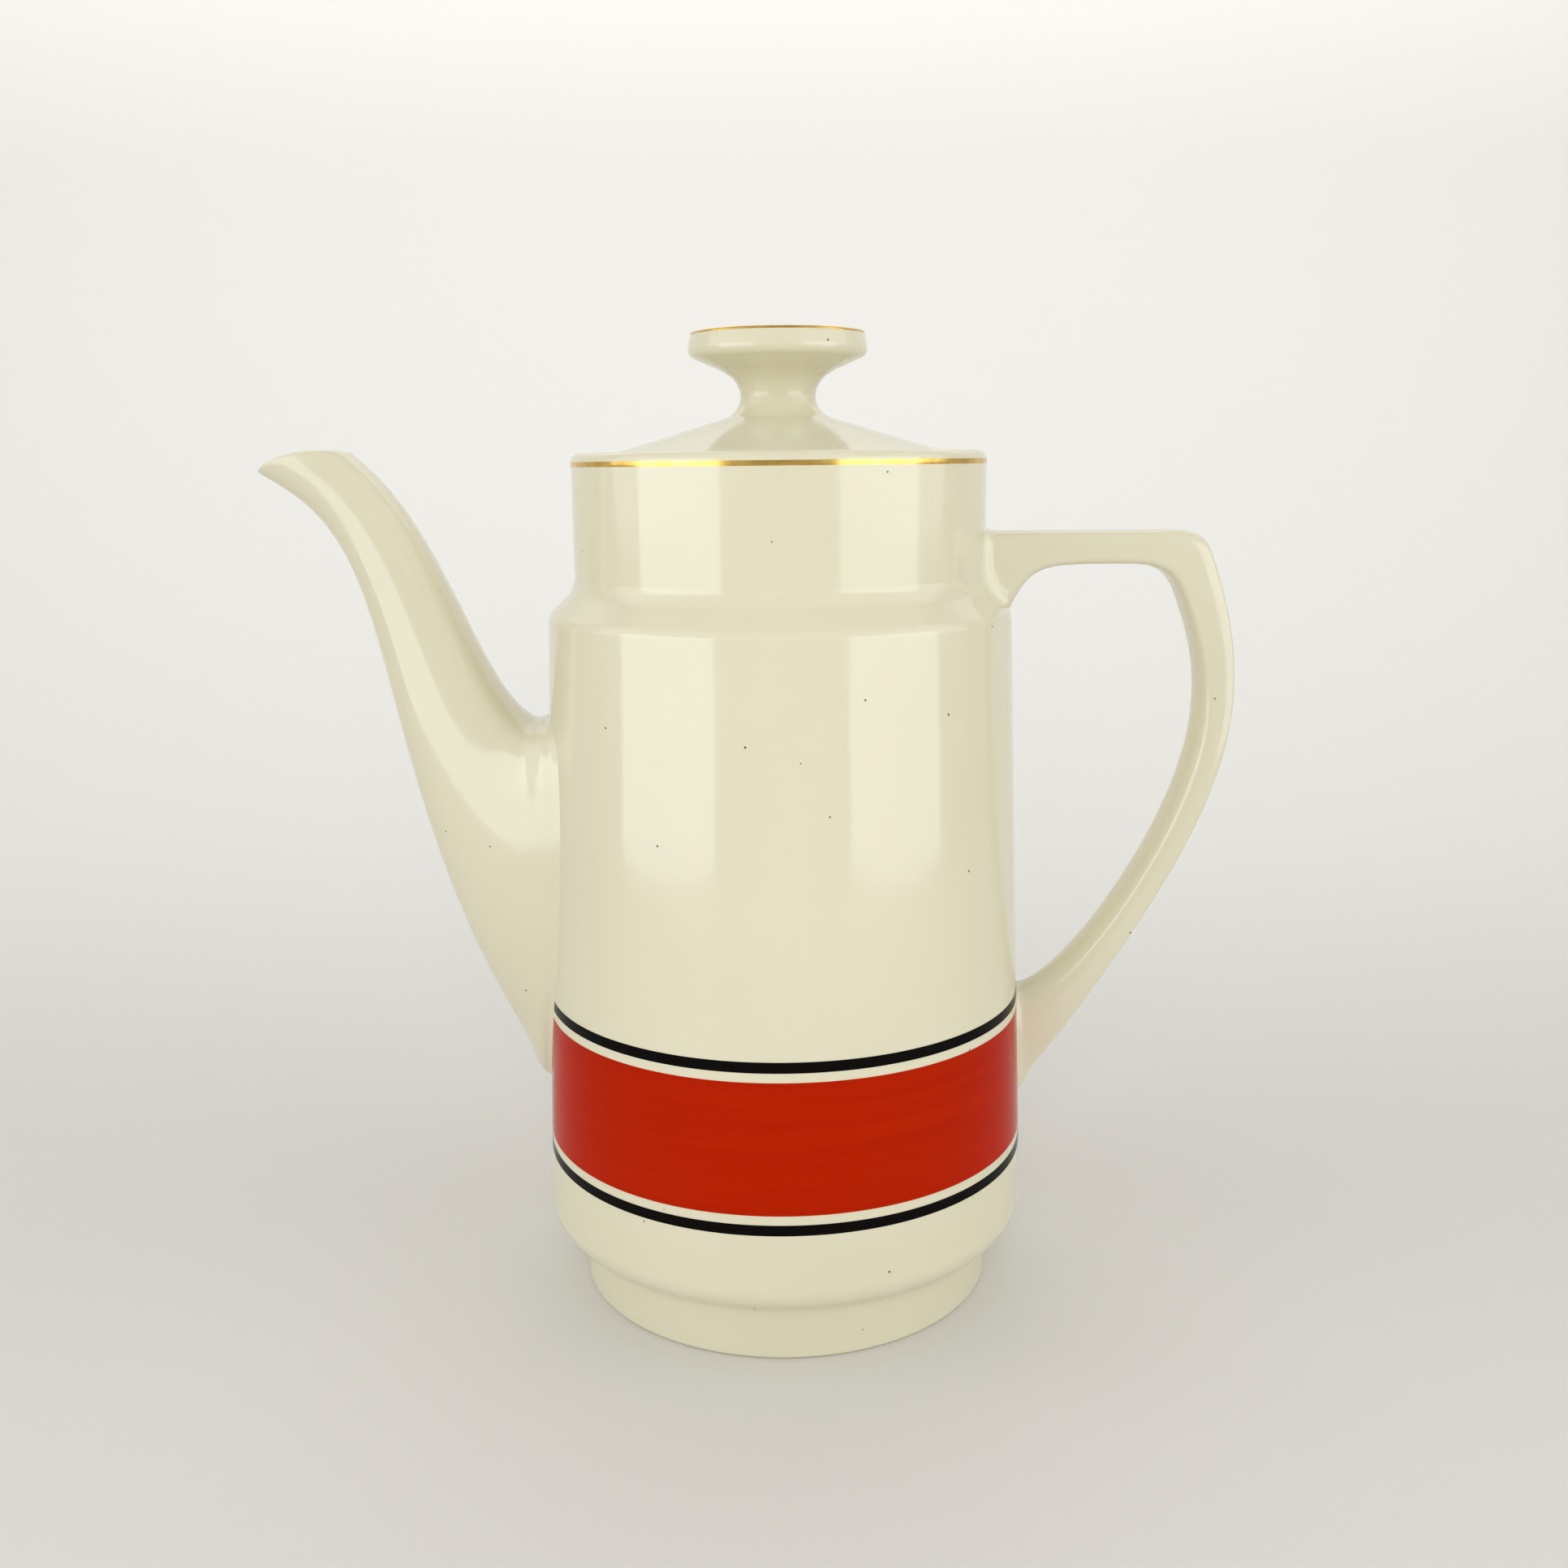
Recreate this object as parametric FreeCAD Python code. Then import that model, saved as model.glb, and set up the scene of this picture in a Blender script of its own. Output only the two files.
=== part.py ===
import FreeCAD, Part
import math
import os

# Coffee pot in glazed earthenware, in millimetres, +Z up. It is drawn around its own upright axis,
# with the spout along -X and the handle along +X, and stands on z = 0. Last of all it is set so
# that the origin is the middle of the whole object's footprint.

# Vessel
wall = 3.8
foot_radius = 49.5
foot_height = 14.5
foot_ring_width = 5.2
foot_recess = 4.0
foot_edge_round = 1.0
foot_cove = 2.0
belly_radius = 57.85
belly_round = 6.0
shoulder_radius = 53.3
shoulder_height = 161.6
shoulder_round = 3.0
shoulder_rise = 6.2
neck_radius = 47.1
neck_fillet = 6.0
rim_height = 197.8
lip_flat = 0.2

# Ledge inside the neck that carries the lid
ledge_drop = 4.8
ledge_width = 4.8
ledge_thickness = 3.0
ledge_round = 0.9

# Lid
lid_play = 1.2
lid_edge = 3.3
lid_edge_round = 0.9
lid_pitch = 16.5
lid_thickness = 3.6
skirt_play = 1.3
skirt_wall = 3.2
skirt_depth = 15.0
stem_radius = 8.5
stem_fillet = 5.0
stem_top_gap = 3.7

# Knob
knob_height = 14.4
knob_radius = 20.9
knob_top_radius = 19.5
knob_neck_height = 5.9
knob_underside_rise = 2.6
knob_flare = 6.0
knob_edge_round = 1.6
knob_top_round = 0.9
knob_crown = 0.4

# Spout
spout_root_low = 50.0
spout_root_high = 135.8
spout_root_width = 40.0
spout_root_flare = 4.0
spout_root_squareness = 0.8
spout_reach = 63.6
spout_tip_drop = 3.6
spout_mouth_length = 21.4
spout_mouth_width = 15.4
spout_mouth_slope = 4.2
spout_mouth_rise = 2.0
spout_wall = 2.8
spout_taper = 1.7
spout_ring_points = 16
spout_stations = 14
pour_hole_radius = 9.0
pour_hole_height = 90.0

# Handle
handle_top_drop = 18.3
handle_bar = 7.6
handle_width = 13.0
handle_round = 3.2
handle_reach = 49.7
handle_root_low = 45.3
handle_root_height = 24.6
handle_armpit = 9.5
handle_shoulder_inset = 1.0
handle_root_land = 0.8

# Fired decoration: enamel bands and gold lines let into the glaze
inlay_depth = 0.3
band_gap_angle = 20.0
red_low = 38.3
red_high = 68.0
line_width = 2.4
line_gap = 2.1
gold_width = 1.1
rim_gold_drop = 1.95
knob_gold_side = 0.7
knob_gold_top = 0.6

# How far a stuck-on piece is carried into the wall before it is trimmed to the wall's outside, and
# where the seam of that outside lies, in degrees from the handle
root_sink = 9.0
seam_angle = 90.0

# Derived sizes
neck_inside = neck_radius - wall
neck_foot = shoulder_height + shoulder_rise
shoulder_turn = math.atan2(shoulder_radius - neck_radius, shoulder_rise)
shoulder_shift = wall * math.tan(shoulder_turn / 2)
lip_round = (wall - lip_flat) / 2
ledge_height = rim_height - ledge_drop
ledge_radius = neck_inside - ledge_width
lid_radius = neck_inside - lid_play
lid_slope = math.tan(math.radians(lid_pitch))
lid_edge_top = ledge_height + lid_edge
lid_stem_foot = lid_edge_top + lid_slope * (lid_radius - stem_radius)
knob_seat = lid_stem_foot + stem_top_gap
skirt_radius = ledge_radius - skirt_play
skirt_inside = skirt_radius - skirt_wall
handle_top = rim_height - handle_top_drop


def vec(x, z, y=0.0):
    return FreeCAD.Vector(x, y, z)


def wall_radius(height):
    share = (height - foot_height) / (shoulder_height - foot_height)
    return belly_radius + share * (shoulder_radius - belly_radius)


def bezier(poles):
    curve = Part.BezierCurve()
    curve.setPoles(poles)
    return curve


def rounded_wire(corners):
    # Closed outline in the XZ plane from (x, z, corner radius). Where two sides are too short for
    # their corners, the radii there give way.
    count = len(corners)
    points = [vec(x, z) for x, z, radius in corners]
    ways = []
    setbacks = []
    for i, (x, z, radius) in enumerate(corners):
        back = (points[i - 1] - points[i]).normalize()
        ahead = (points[(i + 1) % count] - points[i]).normalize()
        half = back.getAngle(ahead) / 2
        ways.append((back, ahead, half))
        setbacks.append(radius / math.tan(half))
    limits = [1.0] * count
    for i in range(count):
        j = (i + 1) % count
        need = setbacks[i] + setbacks[j]
        if need > 0:
            limit = 0.98 * (points[j] - points[i]).Length / need
            limits[i] = min(limits[i], limit)
            limits[j] = min(limits[j], limit)
    edges = []
    trims = []
    for i, (back, ahead, half) in enumerate(ways):
        setback = setbacks[i] * limits[i]
        radius = setback * math.tan(half)
        start = points[i] + back * setback
        end = points[i] + ahead * setback
        if setback > 0:
            bow = (back + ahead).normalize() * (radius / math.sin(half) - radius)
            edges.append(Part.Arc(start, points[i] + bow, end).toShape())
        trims.append((start, end))
    for i in range(count):
        j = (i + 1) % count
        edges.append(Part.LineSegment(trims[i][1], trims[j][0]).toShape())
    return Part.Wire(Part.__sortEdges__(edges))


def turned(corners, start=0.0, sweep=360.0):
    face = Part.Face(rounded_wire(corners))
    face.rotate(vec(0, 0), vec(0, 1), start)
    return face.revolve(vec(0, 0), vec(0, 1), sweep)


def outer_corners():
    return [
        (foot_radius, 0, foot_edge_round),
        (foot_radius, foot_height, foot_cove),
        (belly_radius, foot_height, belly_round),
        (shoulder_radius, shoulder_height, shoulder_round),
        (neck_radius, neck_foot, neck_fillet),
        (neck_radius, rim_height, lip_round),
    ]


def envelope():
    # The vessel's outside as a full solid: what is stuck on is trimmed to it. Its seam lies clear of
    # the spout and the handle.
    return turned([(0, 0, 0)] + outer_corners() + [(0, rim_height, 0)], seam_angle)


def vessel():
    ring_inside = foot_radius - foot_ring_width
    floor = foot_recess + wall
    step = foot_height + wall
    under_ledge = ledge_height - ledge_thickness
    neck_turn = neck_foot - shoulder_shift
    ledge_slope = min(ledge_width, (under_ledge - neck_turn) / 2)
    inner_corners = [
        (neck_inside, rim_height, lip_round),
        (neck_inside, ledge_height, ledge_round),
        (ledge_radius, ledge_height, ledge_round),
        (ledge_radius, under_ledge, ledge_round),
        (neck_inside, under_ledge - ledge_slope, ledge_thickness),
        (neck_inside, neck_turn, neck_fillet),
        (shoulder_radius - wall, shoulder_height - shoulder_shift, wall),
        (wall_radius(step) - wall, step, belly_round - foot_edge_round),
        (foot_radius - wall, step, foot_cove + foot_edge_round),
        (foot_radius - wall, floor, wall),
        (0, floor, 0),
    ]
    underside = [(0, foot_recess, 0), (ring_inside, foot_recess, foot_cove), (ring_inside, 0, foot_edge_round)]
    body = turned(underside + outer_corners() + inner_corners)
    hole = Part.makeCylinder(pour_hole_radius, belly_radius, vec(0, pour_hole_height), vec(-1, 0))
    return body.cut(hole)


def between(shape, low, high):
    slab = Part.makeCylinder(2 * belly_radius, high - low, vec(0, low))
    return shape.common(slab)


def band(low, high):
    # One enamel band on the tapered wall, in a front and a back length that stop short of the
    # spout and the handle.
    corners = [
        (wall_radius(low) - inlay_depth, low, 0),
        (wall_radius(low), low, 0),
        (wall_radius(high), high, 0),
        (wall_radius(high) - inlay_depth, high, 0),
    ]
    sweep = 180 - 2 * band_gap_angle
    return Part.Compound([turned(corners, start, sweep) for start in (band_gap_angle, 180 + band_gap_angle)])


def rim_gold():
    high = rim_height - rim_gold_drop
    low = high - gold_width
    inside = neck_radius - inlay_depth
    return turned([(inside, low, 0), (neck_radius, low, 0), (neck_radius, high, 0), (inside, high, 0)])


def lid():
    skirt_foot = ledge_height - skirt_depth
    under_edge = lid_edge_top + lid_slope * (lid_radius - skirt_inside) - lid_thickness
    return turned([
        (0, knob_seat, 0),
        (0, under_edge + lid_slope * skirt_inside, 0),
        (skirt_inside, under_edge, lid_edge_round * 2),
        (skirt_inside, skirt_foot, lid_edge_round),
        (skirt_radius, skirt_foot, lid_edge_round),
        (skirt_radius, ledge_height, 0),
        (lid_radius, ledge_height, lid_edge_round),
        (lid_radius, lid_edge_top, lid_edge_round),
        (stem_radius, lid_stem_foot, stem_fillet),
        (stem_radius, knob_seat, 0),
    ])


def knob_blank():
    underside = knob_seat + knob_neck_height
    top = knob_seat + knob_height
    return turned([
        (0, knob_seat, 0),
        (stem_radius, knob_seat, 0),
        (stem_radius, underside, knob_flare),
        (knob_radius, underside + knob_underside_rise, knob_edge_round),
        (knob_top_radius, top - knob_crown, knob_top_round),
        (0, top, 0),
    ])


def knob_gold_zone():
    top = knob_seat + knob_height
    low = top - knob_crown - knob_gold_side
    inside = knob_top_radius - knob_gold_top
    return turned([(inside, low, 0), (knob_radius, low, 0), (knob_radius, top, 0), (inside, top, 0)])


def spout_edges():
    # Side view of the spout: its underside from the wall to the pouring tip, and its top from the
    # wall to the back of the mouth. The shares between the ends give the curves their bow.
    wall_x = wall_radius((spout_root_low + spout_root_high) / 2)
    tip = rim_height - spout_tip_drop
    low_start = vec(-wall_x, spout_root_low)
    low_span = vec(-spout_reach, tip - spout_root_low)
    high_start = vec(-wall_x, spout_root_high)
    high_span = vec(spout_mouth_length - spout_reach, tip + spout_mouth_slope - spout_root_high)

    def along(start, span, shares):
        return bezier([start + vec(span.x * x, span.z * z) for x, z in shares])

    underside = along(low_start, low_span, [(0, 0), (0.106, 0.009), (0.822, 0.546), (0.345, 0.885), (1, 1)])
    top = along(high_start, high_span, [(0, 0), (0.352, -0.011), (0.473, 0.744), (1, 1)])
    return underside, top


def spout_ring(share, inset, past_mouth=0.0, widen=0.0):
    # One ring of control points. They stand a little outside the smooth section that they shape.
    underside, top = spout_edges()
    fan = share ** 1.5
    low = underside.value(share) + underside.tangent(share)[0] * past_mouth
    high = top.value(fan) + top.tangent(fan)[0] * past_mouth
    middle = (low + high) * 0.5
    along = (high - low).normalize()
    flare = (spout_root_width - spout_mouth_width) * (1 - share) ** spout_taper
    step = 2 * math.pi / spout_ring_points
    outside = 3 / (2 + math.cos(step))
    half_length = ((high - low).Length / 2 - inset) * outside
    half_width = ((spout_mouth_width + flare) / 2 + widen - inset) * outside
    squareness = 2 / (2 + spout_root_squareness * (1 - share))
    ring = []
    for i in range(spout_ring_points):
        up = math.cos(step * i)
        across = math.sin(step * i)
        up = math.copysign(abs(up) ** squareness, up) * half_length
        across = math.copysign(abs(across) ** squareness, across) * half_width
        ring.append(middle + along * up + vec(0, 0, across))
    return ring


def spout_tube(inset):
    # A cubic surface, closed around the spout and clamped at both ends, with a flat cap on each end.
    root = [point + vec(root_sink, 0) for point in spout_ring(0, inset, 0.0, spout_root_flare)]
    rings = [root] + [spout_ring(i / spout_stations, inset) for i in range(spout_stations + 1)]
    rings.append(spout_ring(1, inset, root_sink / 2))
    spans = len(rings) - 3
    surface = Part.BSplineSurface()
    surface.buildFromPolesMultsKnots(
        rings, [4] + [1] * (spans - 1) + [4], [1] * (spout_ring_points + 1),
        list(range(spans + 1)), list(range(spout_ring_points + 1)), False, True, 3, 3)
    caps = [Part.Face(Part.Wire(surface.uIso(u).toShape())) for u in (0, spans)]
    shell = Part.Shell([surface.toShape()] + caps)
    shell.sewShape()
    solid = Part.Solid(shell)
    if solid.Volume < 0:
        solid.reverse()
    return solid


def mouth_trim():
    # The mouth's edge bows up from the pouring tip to its back, so it is cut to a wide arc.
    underside, top = spout_edges()
    tip = underside.value(1)
    back = top.value(1)
    chord = (back - tip).normalize()
    crest = (tip + back) * 0.5 + vec(-chord.z, chord.x) * spout_mouth_rise
    arc = Part.ArcOfCircle(tip, crest, back)
    depth = spout_root_width
    block = Part.makeBox(4 * spout_mouth_length, 2 * depth, 4 * spout_mouth_length)
    block.translate(vec(tip.x - 1.5 * spout_mouth_length, tip.z - spout_mouth_length / 2, -depth))
    disc = Part.makeCylinder(arc.Radius, 2 * depth, arc.Center - vec(0, 0, depth), vec(0, 0, 1))
    return block.cut(disc)


def spout(outside):
    tube = spout_tube(0).cut(spout_tube(spout_wall))
    return tube.cut(mouth_trim()).cut(outside)


def handle_edges():
    # Side view: a level bar from the neck, a rounded corner and a grip that bows out and comes
    # back to the wall. The shares give the grip's curves as parts of its reach and drop.
    wall_x = wall_radius(handle_root_low + handle_root_height / 2)

    def grip(top, low, shares):
        return [vec(wall_x + handle_reach * x, top - (top - low) * z) for x, z in shares]

    def corner(top, start, follows):
        way = (start - follows).normalize()
        turn = start + way * ((top - start.z) / way.z)
        return [turn - vec((turn - start).Length, 0), turn, start]

    under = handle_top - handle_bar
    root_high = handle_root_low + handle_root_height
    outer = grip(handle_top, handle_root_low,
                 [(0.865, 0.039), (1.255, 0.4255), (0.797, 0.545), (0.141, 1.0), (-0.06, 1.0)])
    inner = grip(under, root_high,
                 [(0.694, 0.041), (1.026, 0.391), (0.573, 0.68), (0.195, 0.99), (-0.06, 1.0)])
    outer_corner = corner(handle_top, outer[0], outer[1])
    inner_corner = corner(under, inner[0], inner[1])
    inside = neck_radius - wall
    armpit_x = shoulder_radius - handle_shoulder_inset
    armpit_start = vec(armpit_x + handle_armpit, under)
    armpit_end = vec(armpit_x, under - handle_armpit)
    bow = handle_armpit * (1 - math.sqrt(0.5))
    armpit_middle = vec(armpit_x + bow, under - bow)
    root_foot = vec(armpit_x, armpit_end.z - handle_root_land)
    shown = [
        Part.LineSegment(vec(inside, handle_top), outer_corner[0]),
        bezier(outer_corner),
        bezier(outer),
        Part.LineSegment(outer[-1], inner[-1]),
        bezier(inner),
        bezier(inner_corner),
        Part.LineSegment(inner_corner[0], armpit_start),
        Part.Arc(armpit_start, armpit_middle, armpit_end),
        Part.LineSegment(armpit_end, root_foot),
        Part.LineSegment(root_foot, vec(inside, root_foot.z)),
        Part.LineSegment(vec(inside, root_foot.z), vec(inside, handle_top)),
    ]
    return Part.Wire(Part.__sortEdges__([curve.toShape() for curve in shown]))


def handle(outside):
    outline = handle_edges()
    outline.translate(vec(0, 0, -handle_width / 2))
    blank = Part.Face(outline).extrude(vec(0, 0, handle_width))
    rims = []
    for edge in blank.Edges:
        box = edge.BoundBox
        if box.YLength < 1e-6 and box.XLength > 1e-6 and box.XMax > shoulder_radius:
            rims.append(edge)
    return blank.makeFillet(handle_round, rims).cut(outside)


def build():
    outside = envelope()
    red = band(red_low, red_high)
    upper_low = red_high + line_gap
    lower_high = red_low - line_gap
    upper_line = band(upper_low, upper_low + line_width)
    lower_line = band(lower_high - line_width, lower_high)
    gold = rim_gold()
    blank = knob_blank()
    zone = knob_gold_zone()
    pot = vessel().cut([red, upper_line, lower_line, gold])
    floor = foot_recess + wall
    neck_start = shoulder_height - shoulder_shift
    pieces = {
        "pot_foot": between(pot, 0, floor),
        "pot_body": between(pot, floor, neck_start),
        "pot_neck": between(pot, neck_start, rim_height),
        "spout": spout(outside),
        "handle": handle(outside),
        "lid": lid(),
        "lid_knob": blank.cut(zone),
        "red_band": red,
        "upper_black_line": upper_line,
        "lower_black_line": lower_line,
        "rim_gold_line": gold,
        "knob_gold_line": blank.common(zone),
    }
    left = min(point.x for point in pieces["spout"].tessellate(0.02)[0])
    right = max(point.x for point in pieces["handle"].tessellate(0.02)[0])
    for shape in pieces.values():
        shape.translate(vec(-(left + right) / 2, 0))
    return pieces


os.makedirs("parts", exist_ok=True)
for name, shape in build().items():
    shape.exportStep("parts/" + name + ".step")
    box = shape.optimalBoundingBox()
    print(name, "solids", len(shape.Solids), "valid", shape.isValid(), "cm3", round(shape.Volume / 1000, 2),
          "x %.2f %.2f y %.2f %.2f z %.2f %.2f" % (box.XMin, box.XMax, box.YMin, box.YMax, box.ZMin, box.ZMax))
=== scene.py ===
import bpy
import bmesh
import math
from mathutils import Matrix, Vector


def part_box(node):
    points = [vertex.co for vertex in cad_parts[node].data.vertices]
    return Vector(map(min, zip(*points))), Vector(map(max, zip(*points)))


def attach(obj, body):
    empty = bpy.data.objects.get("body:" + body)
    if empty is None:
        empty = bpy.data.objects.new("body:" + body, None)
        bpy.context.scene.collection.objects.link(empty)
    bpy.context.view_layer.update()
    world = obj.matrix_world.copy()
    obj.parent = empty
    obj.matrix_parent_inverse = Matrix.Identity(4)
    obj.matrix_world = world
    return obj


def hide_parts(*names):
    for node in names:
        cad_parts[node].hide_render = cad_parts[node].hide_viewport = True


mm = 0.001
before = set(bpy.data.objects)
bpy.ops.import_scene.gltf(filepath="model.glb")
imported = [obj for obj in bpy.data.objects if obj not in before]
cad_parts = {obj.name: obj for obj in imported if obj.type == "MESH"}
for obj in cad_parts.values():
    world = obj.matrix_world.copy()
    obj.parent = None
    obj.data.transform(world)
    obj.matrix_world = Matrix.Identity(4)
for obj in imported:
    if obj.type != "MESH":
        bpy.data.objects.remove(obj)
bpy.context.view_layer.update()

scene = bpy.context.scene
lidLow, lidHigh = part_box("lid")
axisX = (lidLow.x + lidHigh.x) / 2      # the pot's upright axis in the frame


def linearFromHex(code):
    # the sRGB curve, channel by channel
    channels = []
    for i in (0, 2, 4):
        c = int(code[i:i + 2], 16) / 255
        channels.append(c / 12.92 if c <= 0.04045 else ((c + 0.055) / 1.055) ** 2.4)
    return (*channels, 1.0)


def addNode(tree, kind, values=None, **settings):
    node = tree.nodes.new(kind)
    for key, value in settings.items():
        setattr(node, key, value)
    for socket, value in (values or {}).items():
        if isinstance(value, bpy.types.NodeSocket):
            tree.links.new(value, node.inputs[socket])
        else:
            node.inputs[socket].default_value = value
    return node


def startMaterial(name):
    material = bpy.data.materials.new(name)
    material.use_nodes = True
    tree = material.node_tree
    tree.nodes.clear()
    place = addNode(tree, "ShaderNodeTexCoord").outputs["Object"]
    return material, tree, place


def endMaterial(tree, values):
    shader = addNode(tree, "ShaderNodeBsdfPrincipled", values)
    addNode(tree, "ShaderNodeOutputMaterial", {"Surface": shader.outputs[0]})


# A colour Mix node's sockets go by number, because its other kinds of socket have the same names
mixShare, mixFirst, mixSecond, mixResult = 0, 6, 7, 2
glassIor = 1.52      # glaze and enamel are both glass

# Glazed earthenware: a thick clear gloss over a warm cream body, slightly wavy, with soft pooling in
# the colour and a few iron specks from the clay
glaze = {
    "pale": "E3DEC4", "deep": "DAD5BA", "poolSize": 55 * mm, "roughness": (0.08, 0.13),
    "waveSize": 16 * mm, "waveDepth": 0.05 * mm,
    "speck": "5A4632", "speckSpacing": 6 * mm, "speckCore": 0.2 * mm, "speckEdge": 0.34 * mm,
    "speckShare": 0.28,      # of the places where a speck may sit
}


def creamGlaze():
    material, tree, place = startMaterial("glazed_earthenware_cream")
    pool = addNode(tree, "ShaderNodeTexNoise", {
        "Vector": place, "Scale": 1 / glaze["poolSize"], "Detail": 3.0})
    tone = addNode(tree, "ShaderNodeMix", {
        mixShare: pool.outputs["Fac"],
        mixFirst: linearFromHex(glaze["pale"]),
        mixSecond: linearFromHex(glaze["deep"])}, data_type="RGBA")
    cells = addNode(tree, "ShaderNodeTexVoronoi", {"Vector": place, "Scale": 1 / glaze["speckSpacing"]})
    spot = addNode(tree, "ShaderNodeMapRange", {
        "Value": cells.outputs["Distance"],
        "From Min": glaze["speckCore"] / glaze["speckSpacing"],
        "From Max": glaze["speckEdge"] / glaze["speckSpacing"],
        "To Min": 1.0, "To Max": 0.0})
    chance = addNode(tree, "ShaderNodeSeparateColor", {"Color": cells.outputs["Color"]})
    rare = addNode(tree, "ShaderNodeMath", {
        0: chance.outputs[0], 1: 1 - glaze["speckShare"]}, operation="GREATER_THAN")
    speck = addNode(tree, "ShaderNodeMath", {
        0: spot.outputs[0], 1: rare.outputs[0]}, operation="MULTIPLY")
    colour = addNode(tree, "ShaderNodeMix", {
        mixShare: speck.outputs[0],
        mixFirst: tone.outputs[mixResult],
        mixSecond: linearFromHex(glaze["speck"])}, data_type="RGBA")
    wave = addNode(tree, "ShaderNodeTexNoise", {
        "Vector": place, "Scale": 1 / glaze["waveSize"], "Detail": 1.0})
    bump = addNode(tree, "ShaderNodeBump", {
        "Height": wave.outputs["Fac"], "Distance": glaze["waveDepth"], "Strength": 1.0})
    smooth, dull = glaze["roughness"]
    gloss = addNode(tree, "ShaderNodeMapRange", {
        "Value": pool.outputs["Fac"], "To Min": smooth, "To Max": dull})
    endMaterial(tree, {"Base Color": colour.outputs[mixResult], "Roughness": gloss.outputs[0],
                       "IOR": glassIor, "Normal": bump.outputs[0]})
    return material


# Fired on-glaze enamel: a thin brushed skin of saturated colour, denser and thinner along the strokes.
# Its shine is held low, because a pale room mirrored in it would wash the colour out
enamel = {"strokeWidth": 2.2 * mm, "strokeLength": 60 * mm, "strokeDepth": 0.008 * mm,
          "roughness": (0.091, 0.195), "shine": 0.03}


def firedEnamel(name, dense, thin):
    material, tree, place = startMaterial(name)
    along, across = 1 / enamel["strokeLength"], 1 / enamel["strokeWidth"]
    spread = addNode(tree, "ShaderNodeMapping", {"Vector": place, "Scale": (along, along, across)})
    stroke = addNode(tree, "ShaderNodeTexNoise", {"Vector": spread.outputs[0], "Scale": 1.0, "Detail": 4.0})
    colour = addNode(tree, "ShaderNodeMix", {
        mixShare: stroke.outputs["Fac"],
        mixFirst: linearFromHex(dense),
        mixSecond: linearFromHex(thin)}, data_type="RGBA")
    smooth, dull = enamel["roughness"]
    gloss = addNode(tree, "ShaderNodeMapRange", {
        "Value": stroke.outputs["Fac"], "To Min": smooth, "To Max": dull})
    bump = addNode(tree, "ShaderNodeBump", {
        "Height": stroke.outputs["Fac"], "Distance": enamel["strokeDepth"]})
    endMaterial(tree, {"Base Color": colour.outputs[mixResult], "Roughness": gloss.outputs[0],
                       "IOR": glassIor, "Specular IOR Level": enamel["shine"], "Normal": bump.outputs[0]})
    return material


# Bright fired gold: a very thin metal film, mirror-like, with small thin spots where it was brushed on
gold = {"full": "F2CF74", "worn": "B98A3A", "patchSize": 3 * mm, "roughness": (0.112, 0.256)}


def firedGold():
    material, tree, place = startMaterial("fired_gold")
    patch = addNode(tree, "ShaderNodeTexNoise", {
        "Vector": place, "Scale": 1 / gold["patchSize"], "Detail": 3.0})
    colour = addNode(tree, "ShaderNodeMix", {
        mixShare: patch.outputs["Fac"],
        mixFirst: linearFromHex(gold["full"]),
        mixSecond: linearFromHex(gold["worn"])}, data_type="RGBA")
    smooth, dull = gold["roughness"]
    gloss = addNode(tree, "ShaderNodeMapRange", {
        "Value": patch.outputs["Fac"], "To Min": smooth, "To Max": dull})
    endMaterial(tree, {"Base Color": colour.outputs[mixResult], "Metallic": 1.0,
                       "Roughness": gloss.outputs[0]})
    return material


# Bare fired clay where the pot stood in the kiln: matt, pale buff and gritty, with the grit drawn
# coarser than it is so that it shows
clay = {"pale": "D9CBB0", "dark": "B9A688", "gritSize": 0.7 * mm, "gritDepth": 0.05 * mm, "roughness": 0.85}


def bareClay():
    material, tree, place = startMaterial("bare_fired_clay")
    grit = addNode(tree, "ShaderNodeTexNoise", {
        "Vector": place, "Scale": 1 / clay["gritSize"], "Detail": 4.0})
    colour = addNode(tree, "ShaderNodeMix", {
        mixShare: grit.outputs["Fac"],
        mixFirst: linearFromHex(clay["pale"]),
        mixSecond: linearFromHex(clay["dark"])}, data_type="RGBA")
    bump = addNode(tree, "ShaderNodeBump", {"Height": grit.outputs["Fac"], "Distance": clay["gritDepth"]})
    endMaterial(tree, {"Base Color": colour.outputs[mixResult], "Roughness": clay["roughness"],
                       "Normal": bump.outputs[0]})
    return material


creamMaterial = creamGlaze()
redMaterial = firedEnamel("fired_enamel_red", "A91900", "BB2500")
blackMaterial = firedEnamel("fired_enamel_black", "060505", "120E0C")
goldMaterial = firedGold()
clayMaterial = bareClay()
print("materials made")

weld = 0.002 * mm                 # points nearer than this are one
sharpTurn = math.radians(40)      # an edge that turns more than this stays crisp


def finishPiece(name, bm, materials, body, nodes):
    bmesh.ops.remove_doubles(bm, verts=bm.verts, dist=weld)
    bmesh.ops.recalc_face_normals(bm, faces=bm.faces)
    for face in bm.faces:
        face.smooth = True
    for edge in bm.edges:
        edge.smooth = edge.calc_face_angle(0.0) < sharpTurn
    mesh = bpy.data.meshes.new(name)
    bm.to_mesh(mesh)
    bm.free()
    piece = bpy.data.objects.new(name, mesh)
    scene.collection.objects.link(piece)
    for material in materials:
        mesh.materials.append(material)
    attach(piece, body)
    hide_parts(*nodes)
    return piece


def evenShading(piece):
    modifier = piece.modifiers.new("evenShading", "WEIGHTED_NORMAL")
    modifier.weight = 100         # the large faces lead, not the narrow ones of the bends
    modifier.keep_sharp = True


bendSegments = 7
spinSlack = 0.003 * mm            # the spin rounds its turns a little


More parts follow.
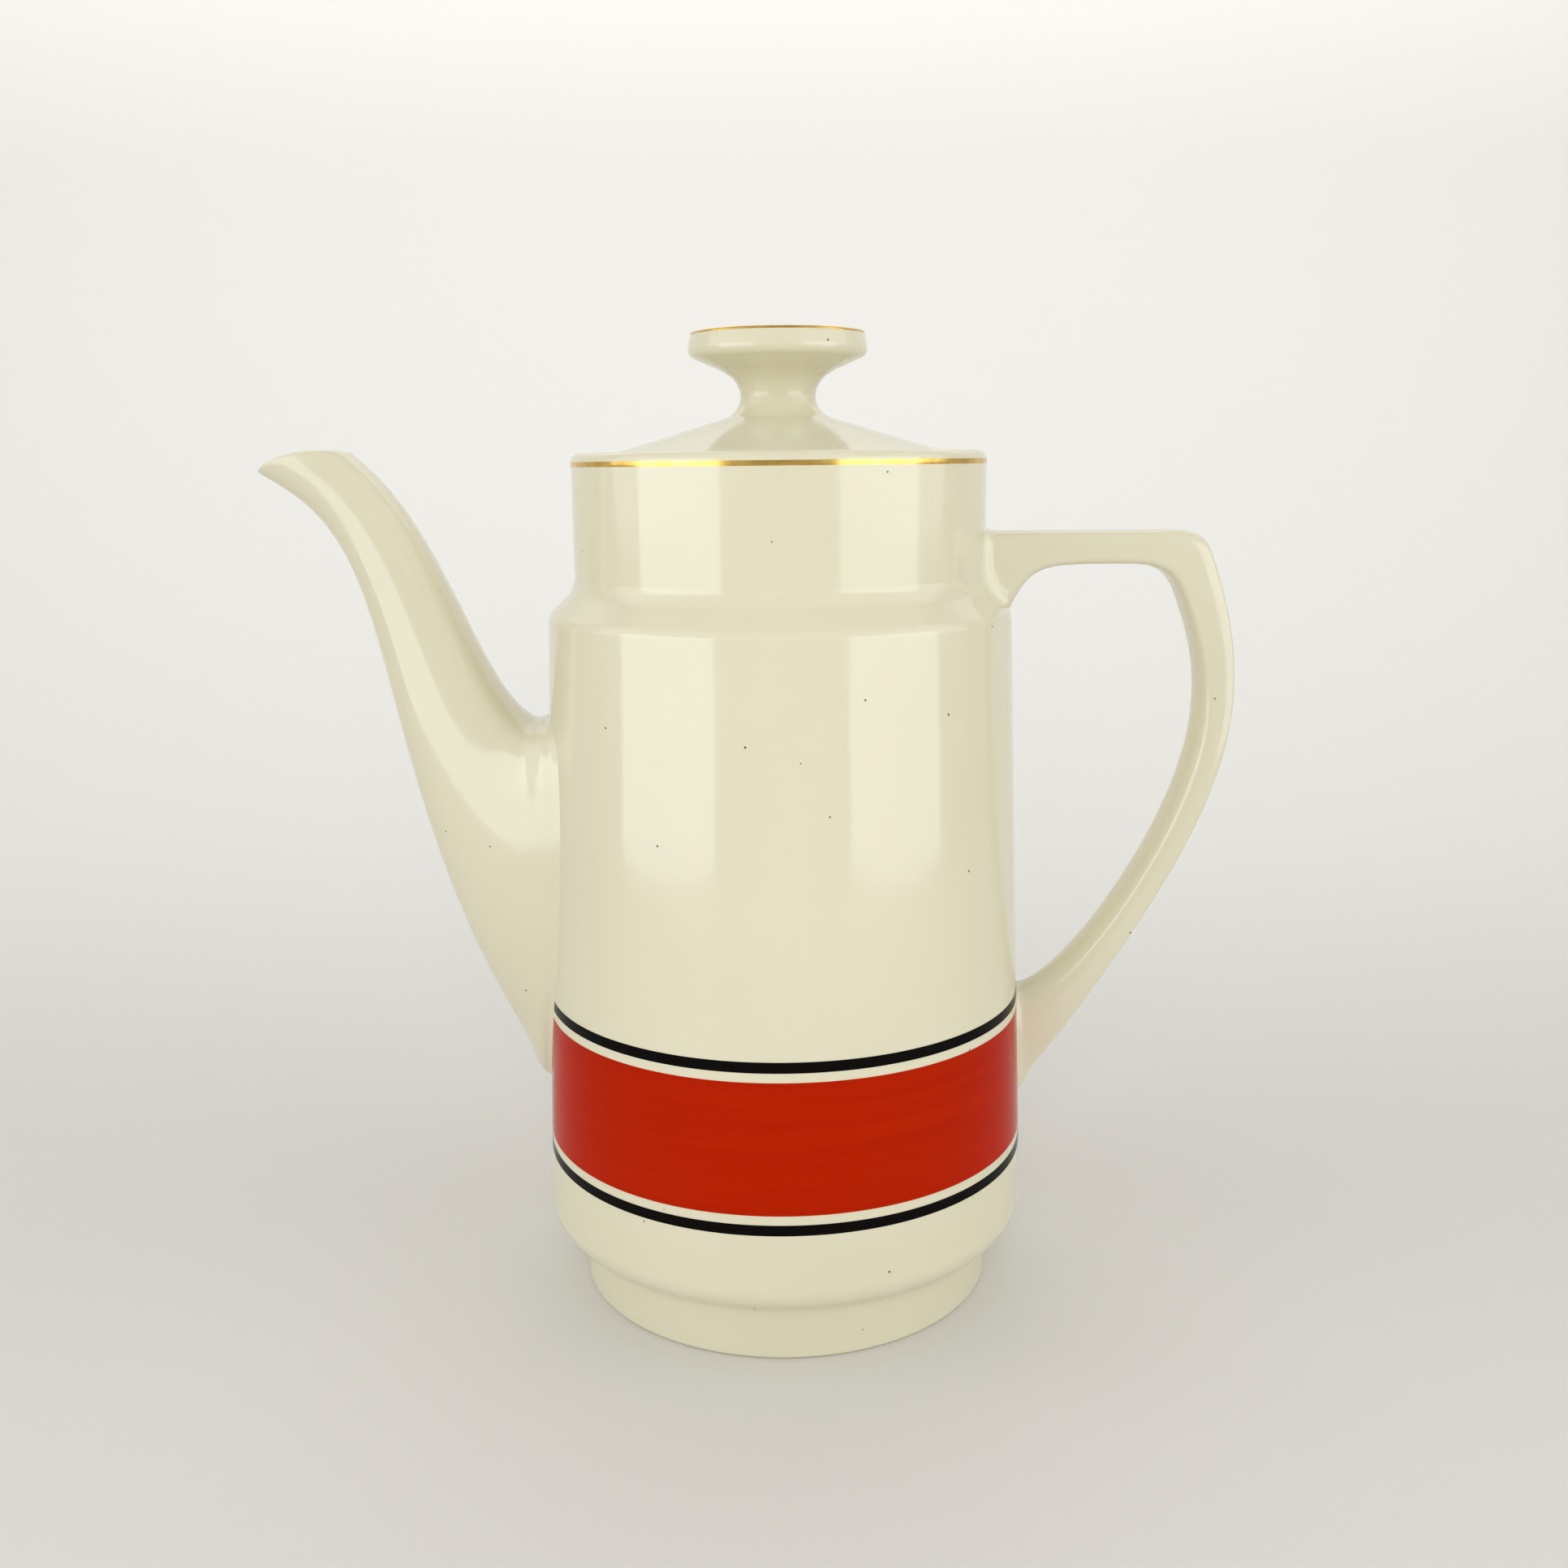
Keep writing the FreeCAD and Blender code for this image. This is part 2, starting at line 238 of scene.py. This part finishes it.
def spinCorners(corners, closed, steps):
    # a line of (radius, height, corner radius) in mm, spun about the pot's axis, then each ring of
    # corners bevelled to its radius
    bm = bmesh.new()
    line = [bm.verts.new((axisX + r * mm, 0, z * mm)) for r, z, bend in corners]
    edges = [bm.edges.new(pair) for pair in zip(line, line[1:])]
    if closed:
        edges.append(bm.edges.new((line[-1], line[0])))
    bmesh.ops.spin(bm, geom=line + edges, cent=(axisX, 0, 0), axis=(0, 0, 1), dvec=(0, 0, 0), angle=math.tau,
                   steps=steps, use_merge=True, use_normal_flip=False, use_duplicate=False)
    bmesh.ops.remove_doubles(bm, verts=bm.verts, dist=weld)
    bmesh.ops.recalc_face_normals(bm, faces=bm.faces)

    def onCorner(v, r, z):
        fromAxis = math.hypot(v.co.x - axisX, v.co.y)
        return abs(v.co.z - z * mm) < spinSlack and abs(fromAxis - r * mm) < spinSlack

    for i, (r, z, bend) in enumerate(corners):
        if not bend:
            continue
        here = Vector((r, z))
        back = (Vector(corners[i - 1][:2]) - here).normalized()
        ahead = (Vector(corners[(i + 1) % len(corners)][:2]) - here).normalized()
        setback = bend / math.tan(back.angle(ahead) / 2)
        ring = [edge for edge in bm.edges if all(onCorner(v, r, z) for v in edge.verts)]
        bmesh.ops.bevel(bm, geom=ring, offset=setback * mm, offset_type="OFFSET", segments=bendSegments,
                        profile=0.5, affect="EDGES", clamp_overlap=True, material=-1)
    return bm


def between(start, end, share):
    return start + (end - start) * share


# Vessel: one casting, turned, as (radius, height, corner radius) in mm from the middle of its underside,
# round the foot, up the outside, over the lip and down the inside
pot = {
    "underside": [(0, 4.0, 0), (44.3, 4.0, 2.0), (44.3, 0, 1.0)],
    "foot": [(49.5, 0, 1.0), (49.5, 14.5, 2.0)],
    "heel": (57.85, 14.5, 6.0),
    "shoulder": (53.3, 161.6, 3.0),
    "neckFoot": (47.1, 167.8, 6.0),
    "lip": [(47.1, 197.8, 1.8), (43.3, 197.8, 1.8)],
    "inside": [(43.3, 193.0, 0.8), (38.5, 193.0, 0.9), (38.5, 190.0, 0.9), (43.3, 185.2, 2.5),
               (43.3, 166.2, 6.0), (49.5, 160.0, 3.8), (53.9, 18.3, 4.8), (45.7, 18.3, 3.0),
               (45.7, 7.8, 3.6), (0, 7.8, 0)],
    "standingRing": (44.9, 48.9), "standingHeight": 0.2,      # bare clay from and to, and up to
    "steps": 160,
}


def slopeRadius(below, above, z):
    return between(below[0], above[0], (z - below[1]) / (above[1] - below[1]))


def wallRadius(z):
    return slopeRadius(pot["heel"], pot["shoulder"], z)


def neckRadius(z):
    # the shoulder's slope, and above it the upright neck
    return slopeRadius(pot["shoulder"], pot["neckFoot"], min(z, pot["neckFoot"][1]))


def turnedVessel():
    outside = pot["foot"] + [pot["heel"], pot["shoulder"], pot["neckFoot"]] + pot["lip"]
    bm = spinCorners(pot["underside"] + outside + pot["inside"], False, pot["steps"])
    near, far = pot["standingRing"]
    for face in bm.faces:
        middle = face.calc_center_median()
        fromAxis = math.hypot(middle.x - axisX, middle.y)
        if middle.z < pot["standingHeight"] * mm and near * mm < fromAxis < far * mm:
            face.material_index = 1      # the clay, second of the vessel's materials
    return bm


vessel = finishPiece("vessel", turnedVessel(), [creamMaterial, clayMaterial], "pot",
                     ["pot_foot", "pot_body", "pot_neck"])
evenShading(vessel)
print("vessel turned")

# Bands and lines: skins of enamel that stand a hair proud of the glaze and run on under the spout and
# the handle, each from one height to another
bands = {"sunk": 0.25, "proud": 0.05,
         "red": (38.3, 68.0), "upperLine": (70.1, 72.5), "lowerLine": (33.8, 36.2)}


def bandRound(name, span, material, node):
    lowZ, highZ = span
    corners = [(wallRadius(lowZ) - bands["sunk"], lowZ, 0), (wallRadius(lowZ) + bands["proud"], lowZ, 0),
               (wallRadius(highZ) + bands["proud"], highZ, 0), (wallRadius(highZ) - bands["sunk"], highZ, 0)]
    piece = finishPiece(name, spinCorners(corners, True, pot["steps"]), [material], "pot", [node])
    evenShading(piece)


bandRound("redBand", bands["red"], redMaterial, "red_band")
bandRound("upperLine", bands["upperLine"], blackMaterial, "upper_black_line")
bandRound("lowerLine", bands["lowerLine"], blackMaterial, "lower_black_line")

# Gold lines on the lip and on the knob's edge
goldLines = {
    "rim": [(46.8, 194.75, 0), (47.1, 194.75, 0), (47.16, 195.3, 0), (47.1, 195.85, 0), (46.8, 195.85, 0)],
    "knob": [(18.9, 223.6, 0), (19.64, 223.42, 0), (19.6, 223.7, 0), (19.38, 223.93, 0), (18.95, 224.01, 0)],
    "steps": 160,
}
for name, body, node in (("rim", "pot", "rim_gold_line"), ("knob", "lid", "knob_gold_line")):
    bm = spinCorners(goldLines[name], True, goldLines["steps"])
    finishPiece(name + "GoldLine", bm, [goldMaterial], body, [node])
print("bands and gold lines made")

# Lid, from the top of its stem down the outside, round the skirt and back up the inside
lid = {
    "line": [(0, 209.95, 0), (8.5, 209.95, 0), (8.5, 206.25, 5.0), (42.1, 196.3, 0.9), (42.1, 193.0, 0.9),
             (37.2, 193.0, 0), (37.2, 178.0, 0.9), (34.0, 178.0, 0.9), (34.0, 195.1, 1.8), (0, 205.17, 0)],
    "steps": 144,
}
# Knob, from the stem it sits on, out along the cove to its edge and in over the top
knob = {
    "line": [(0, 209.95, 0), (8.5, 209.95, 0), (8.5, 212.9, 5.4), (12.6, 215.6, 8.0), (20.6, 219.0, 2.2),
             (19.5, 223.95, 0.9), (0, 224.35, 0)],
    "steps": 128,
}
for name, shape, node in (("lidShell", lid, "lid"), ("knob", knob, "lid_knob")):
    bm = spinCorners(shape["line"], False, shape["steps"])
    evenShading(finishPiece(name, bm, [creamMaterial], "lid", [node]))
print("lid and knob turned")

ringPoints = 16                   # of each ring in the cages below


def curvePoint(poles, share):
    # a point on a Bezier curve, by going the same share of the way between its poles again and again
    points = [Vector(p) for p in poles]
    while len(points) > 1:
        points = [a.lerp(b, share) for a, b in zip(points, points[1:])]
    return points[0]


def softRing(bm, low, high, halfWidth, lowSquare, highSquare, widest):
    # a circle drawn out into a rounded section whose ends lie at low and high in the side view
    ring = bmesh.ops.create_circle(bm, segments=ringPoints, radius=1.0, cap_ends=False)["verts"]
    middle = low.lerp(high, widest)
    grow = 3 / (2 + math.cos(math.tau / ringPoints))      # smoothing draws a ring in by as much
    for v in ring:
        end, power = (high, 2 / highSquare) if v.co.y > 0 else (low, 2 / lowSquare)
        side = middle + (end - middle) * abs(v.co.y) ** power * grow
        across = math.copysign(abs(v.co.x) ** power, v.co.x) * grow
        v.co = (side.x * mm + axisX, across * halfWidth * mm, side.y * mm)
    return ring


def wrapRing(ring, radiusAt, away, side):
    # lays a ring on the round wall, so far off it
    for v in ring:
        r = (radiusAt(v.co.z / mm) + away) * mm
        v.co.x = axisX + side * math.sqrt(max(r * r - v.co.y * v.co.y, 0))


def joinRings(bm, rings):
    for one, two in zip(rings, rings[1:]):
        edges = [e for ring in (one, two) for e in bm.edges if e.verts[0] in ring and e.verts[1] in ring]
        bmesh.ops.bridge_loops(bm, edges=edges)


def smoothCage(piece, levels):
    modifier = piece.modifiers.new("smooth", "SUBSURF")
    modifier.levels = levels
    modifier.render_levels = levels


# Spout: a hollow cage of rings that leans out of the wall, bends up and flares to a pouring lip. Its
# curves are seen from the side, as (out from the axis, height) in mm
spout = {
    "under": [(-55.43, 50.0), (-62.17, 51.3), (-107.7, 128.7), (-77.4, 177.6), (-119.03, 194.2)],
    "top": [(-55.43, 135.8), (-70.28, 135.1), (-75.4, 182.4), (-97.63, 198.4)],
    "topLag": 1.5,                # how the top falls behind the underside on the way
    "rootWidth": 20.0, "mouthWidth": 7.7, "taper": 1.7, "wall": 2.8,
    "rootSquare": (1.7, 4.2), "mouthSquare": (2.0, 2.5), "rootWidest": 0.66, "mouthWidest": 0.5,
    "rootFlare": [(3.6, -1.6), (2.7, 0.1), (1.4, 1.1), (1.0, 3.0)],      # wider by, off the wall by
    "boreSunk": 1.0,
    "lipFrom": 5 / 6, "lipRise": 2.0,
    "lipRound": [(0.5, 0.2), (1.4, 0.5), (2.3, 0.2)],      # in from the edge, above the edge
    "firstStation": 2, "stations": 14, "side": -1, "levels": 3,
}


def riseAt(share):
    # the middle of the mouth rises over the last stretch
    return spout["lipRise"] * max(0, (share - spout["lipFrom"]) / (1 - spout["lipFrom"]))


def spoutRing(bm, share, inset, lip=0.0):
    low = curvePoint(spout["under"], share)
    high = curvePoint(spout["top"], share ** spout["topLag"])
    along = (high - low).normalized()
    width = between(spout["mouthWidth"], spout["rootWidth"], (1 - share) ** spout["taper"])
    square = Vector(spout["rootSquare"]).lerp(Vector(spout["mouthSquare"]), share)
    widest = between(spout["rootWidest"], spout["mouthWidest"], share)
    ring = softRing(bm, low + along * inset, high - along * inset, width - inset, *square, widest)
    if lip:
        across = Vector((-along.y, along.x))
        middle = (low + high) / 2
        half = (high - low).length / 2
        for v in ring:
            at = (Vector(((v.co.x - axisX) / mm, v.co.z / mm)) - middle).dot(along) / half
            rise = lip * max(1 - at * at, 0)
            v.co.x += across.x * rise * mm
            v.co.z += across.y * rise * mm
    return ring


def spoutShell():
    bm = bmesh.new()
    rings = []
    shares = [i / spout["stations"] for i in range(spout["firstStation"], spout["stations"] + 1)]
    for grow, away in spout["rootFlare"]:
        ring = spoutRing(bm, 0.0, -grow)
        wrapRing(ring, wallRadius, away, spout["side"])
        rings.append(ring)
    for share in shares:
        rings.append(spoutRing(bm, share, 0.0, riseAt(share)))
    for inset, rise in spout["lipRound"]:
        rings.append(spoutRing(bm, 1.0, inset, spout["lipRise"] + rise))
    for share in reversed(shares[:-1]):
        rings.append(spoutRing(bm, share, spout["wall"], riseAt(share)))
    bore = spoutRing(bm, 0.0, spout["wall"])
    wrapRing(bore, wallRadius, -spout["boreSunk"], spout["side"])
    rings.append(bore)
    joinRings(bm, rings)
    return bm


spoutPiece = finishPiece("spoutShell", spoutShell(), [creamMaterial], "pot", ["spout"])
smoothCage(spoutPiece, spout["levels"])
print("spout made")

# Handle: a soft square section carried along the bar, round the corner and down the grip, where it is
# rounder towards the hand. Each bar station is its outer and its inner edge, from the side
handle = {
    "neckRoot": {"outer": (50.0, 179.5), "inner": (52.6, 162.9),
                 "flare": [(-1.6, 1.5), (0.1, 1.0), (1.2, 0.2)]},      # off the wall by, wider by
    "bar": [((50.0, 179.5), (54.6, 165.6)), ((55.0, 179.5), (57.4, 169.6)), ((61.0, 179.5), (62.0, 171.6)),
            ((70.0, 179.5), (70.0, 171.9)), ((79.0, 179.5), (79.0, 171.9)), ((87.0, 179.5), (84.4, 171.7)),
            ((92.3, 179.6), (88.3, 170.2)), ((96.4, 178.4), (91.0, 167.4)), ((98.7, 175.3), (92.5, 164.0))],
    "outer": [(99.1, 174.2), (118.2, 122.4), (94.4, 106.4), (62.0, 45.6), (53.5, 45.3)],
    "inner": [(92.8, 162.8), (107.4, 131.0), (86.0, 101.5), (69.0, 70.9), (54.5, 69.4)],
    "wallRoot": {"outer": (57.0, 46.2), "inner": (56.0, 69.9),
                 "flare": [(1.3, 0.2), (0.1, 1.0), (-1.6, 1.5)]},
    "halfWidth": 6.5, "barSquare": (5.0, 5.0), "gripSquare": (2.4, 6.0), "barWidest": 0.5, "gripWidest": 0.62,
    "gripStations": 16, "blendStations": 4, "gripEnd": 0.94, "side": 1, "levels": 3,
}


def handleRing(bm, inner, outer, grow, gripShare):
    square = Vector(handle["barSquare"]).lerp(Vector(handle["gripSquare"]), gripShare)
    widest = between(handle["barWidest"], handle["gripWidest"], gripShare)
    return softRing(bm, Vector(inner), Vector(outer), handle["halfWidth"] + grow, *square, widest)


def rootRings(bm, root, radiusAt, gripShare):
    # rings on the round wall that spread towards it, as glaze does in a join
    (innerX, innerZ), (outerX, outerZ) = root["inner"], root["outer"]
    rings = []
    for away, grow in root["flare"]:
        spread = math.copysign(grow, outerZ - innerZ)
        ring = handleRing(bm, (innerX, innerZ - spread), (outerX, outerZ + spread), grow, gripShare)
        wrapRing(ring, radiusAt, away, handle["side"])
        rings.append(ring)
    return rings


def handleBar():
    bm = bmesh.new()
    rings = rootRings(bm, handle["neckRoot"], neckRadius, 0.0)
    for outer, inner in handle["bar"]:
        rings.append(handleRing(bm, inner, outer, 0.0, 0.0))
    for i in range(1, handle["gripStations"]):
        share = handle["gripEnd"] * i / handle["gripStations"]
        inner, outer = curvePoint(handle["inner"], share), curvePoint(handle["outer"], share)
        rings.append(handleRing(bm, inner, outer, 0.0, min(1.0, i / handle["blendStations"])))
    rings += rootRings(bm, handle["wallRoot"], wallRadius, 1.0)
    joinRings(bm, rings)
    return bm


handlePiece = finishPiece("handleBar", handleBar(), [creamMaterial], "pot", ["handle"])
smoothCage(handlePiece, handle["levels"])
print("handle made")

# Floor that sweeps up into a backdrop, in metres, and soft light all round, stronger towards the sides
studio = {
    "paper": "DCDBD8", "grainSize": 83.3 * mm, "paperRoughness": (0.55, 0.7),
    "wide": 8.0, "front": -5.0, "back": 0.75, "high": 2.2, "sweep": 0.4, "sweepSegments": 24,
    "air": "F4F3F0", "fill": 0.56, "sideFill": 1.3,
}


def paperMaterial():
    material, tree, place = startMaterial("pale_paper")
    grain = addNode(tree, "ShaderNodeTexNoise", {
        "Vector": place, "Scale": 1 / studio["grainSize"], "Detail": 2.0})
    smooth, dull = studio["paperRoughness"]
    gloss = addNode(tree, "ShaderNodeMapRange", {
        "Value": grain.outputs["Fac"], "To Min": smooth, "To Max": dull})
    endMaterial(tree, {"Base Color": linearFromHex(studio["paper"]), "Roughness": gloss.outputs[0]})
    return material


def paperSweep():
    bm = bmesh.new()
    outline = [(studio["front"], 0), (studio["back"], 0), (studio["back"], studio["high"])]
    line = [bm.verts.new((-studio["wide"] / 2, y, z)) for y, z in outline]
    edges = [bm.edges.new(pair) for pair in zip(line, line[1:])]
    grown = bmesh.ops.extrude_edge_only(bm, edges=edges)["geom"]
    farSide = [g for g in grown if isinstance(g, bmesh.types.BMVert)]
    bmesh.ops.translate(bm, vec=(studio["wide"], 0, 0), verts=farSide)
    fold = [e for e in bm.edges if all(abs(v.co.y - studio["back"]) + abs(v.co.z) < weld for v in e.verts)]
    bmesh.ops.bevel(bm, geom=fold, offset=studio["sweep"], offset_type="OFFSET",
                    segments=studio["sweepSegments"], profile=0.5, affect="EDGES", clamp_overlap=True,
                    material=-1)
    bmesh.ops.recalc_face_normals(bm, faces=bm.faces)
    for face in bm.faces:
        face.smooth = True
    mesh = bpy.data.meshes.new("paper")
    bm.to_mesh(mesh)
    bm.free()
    mesh.materials.append(paperMaterial())
    return bpy.data.objects.new("paper", mesh)


paper = paperSweep()
scene.collection.objects.link(paper)


def softAir():
    world = bpy.data.worlds.new("studio")
    world.use_nodes = True
    tree = world.node_tree
    tree.nodes.clear()
    place = addNode(tree, "ShaderNodeTexCoord").outputs["Generated"]
    direction = addNode(tree, "ShaderNodeSeparateXYZ", {0: place})
    sideways = addNode(tree, "ShaderNodeMath", {
        0: direction.outputs["X"], 1: direction.outputs["X"]}, operation="MULTIPLY")
    glow = addNode(tree, "ShaderNodeMath", {
        0: sideways.outputs[0], 1: studio["sideFill"], 2: studio["fill"]}, operation="MULTIPLY_ADD")
    air = addNode(tree, "ShaderNodeBackground", {
        "Color": linearFromHex(studio["air"]), "Strength": glow.outputs[0]})
    addNode(tree, "ShaderNodeOutputWorld", {"Surface": air.outputs[0]})
    return world


scene.world = softAir()

# Lamps, in metres and watts: the windows only show in the gloss, and the others only light
daylight = (0.86, 0.94, 1.0)
lamps = {
    "leftWindow": {"place": (-0.447, -0.329, 0.18), "aim": (0.0, 0.0, 0.18), "size": (0.5, 0.36),
                   "power": 1.45},
    "rightWindow": {"place": (0.46, -0.329, 0.18), "aim": (0.0, 0.0, 0.18), "size": (0.48, 0.36),
                    "power": 1.25},
    "wallWash": {"place": (0.0, 0.3, 1.0), "aim": (0.0, 0.75, 0.9), "size": (1.8, 0.3), "power": 9.0},
    "frontGlobe": {"place": (0.0, -0.52, 0.3), "radius": 0.08, "power": 3.0},
}
for name, lamp in lamps.items():
    isPanel = "size" in lamp
    data = bpy.data.lights.new(name, "AREA" if isPanel else "POINT")
    data.energy = lamp["power"]
    light = bpy.data.objects.new(name, data)
    light.location = lamp["place"]
    if isPanel:
        data.shape = "RECTANGLE"
        data.size, data.size_y = lamp["size"]
        aim = Vector(lamp["aim"]) - light.location
        light.rotation_euler = aim.to_track_quat("-Z", "Y").to_euler()
    else:
        data.shadow_soft_size = lamp["radius"]
        light.visible_camera = False
    if name.endswith("Window"):
        data.color = daylight
        light.visible_diffuse = False
    else:
        light.visible_glossy = False
    scene.collection.objects.link(light)

# Camera in front of the pot at about the height of its lip, looking down a little: mm and degrees
view = {"distance": 365.2, "height": 195.3, "side": 0.5, "pitch": 11.58, "roll": -0.55,
        "lens": 36.0, "sensor": 36.0}
cameraData = bpy.data.cameras.new("camera")
cameraData.sensor_width = view["sensor"]
cameraData.lens = view["lens"]
camera = bpy.data.objects.new("camera", cameraData)
scene.collection.objects.link(camera)
stand = Vector((axisX + view["side"] * mm, -view["distance"] * mm, view["height"] * mm))
camera.matrix_world = (Matrix.Translation(stand)
                       @ Matrix.Rotation(math.radians(90 - view["pitch"]), 4, "X")
                       @ Matrix.Rotation(math.radians(view["roll"]), 4, "Z"))
scene.camera = camera
scene.view_settings.view_transform = "Standard"
print("stage, lamps and camera set")

bpy.context.view_layer.update()
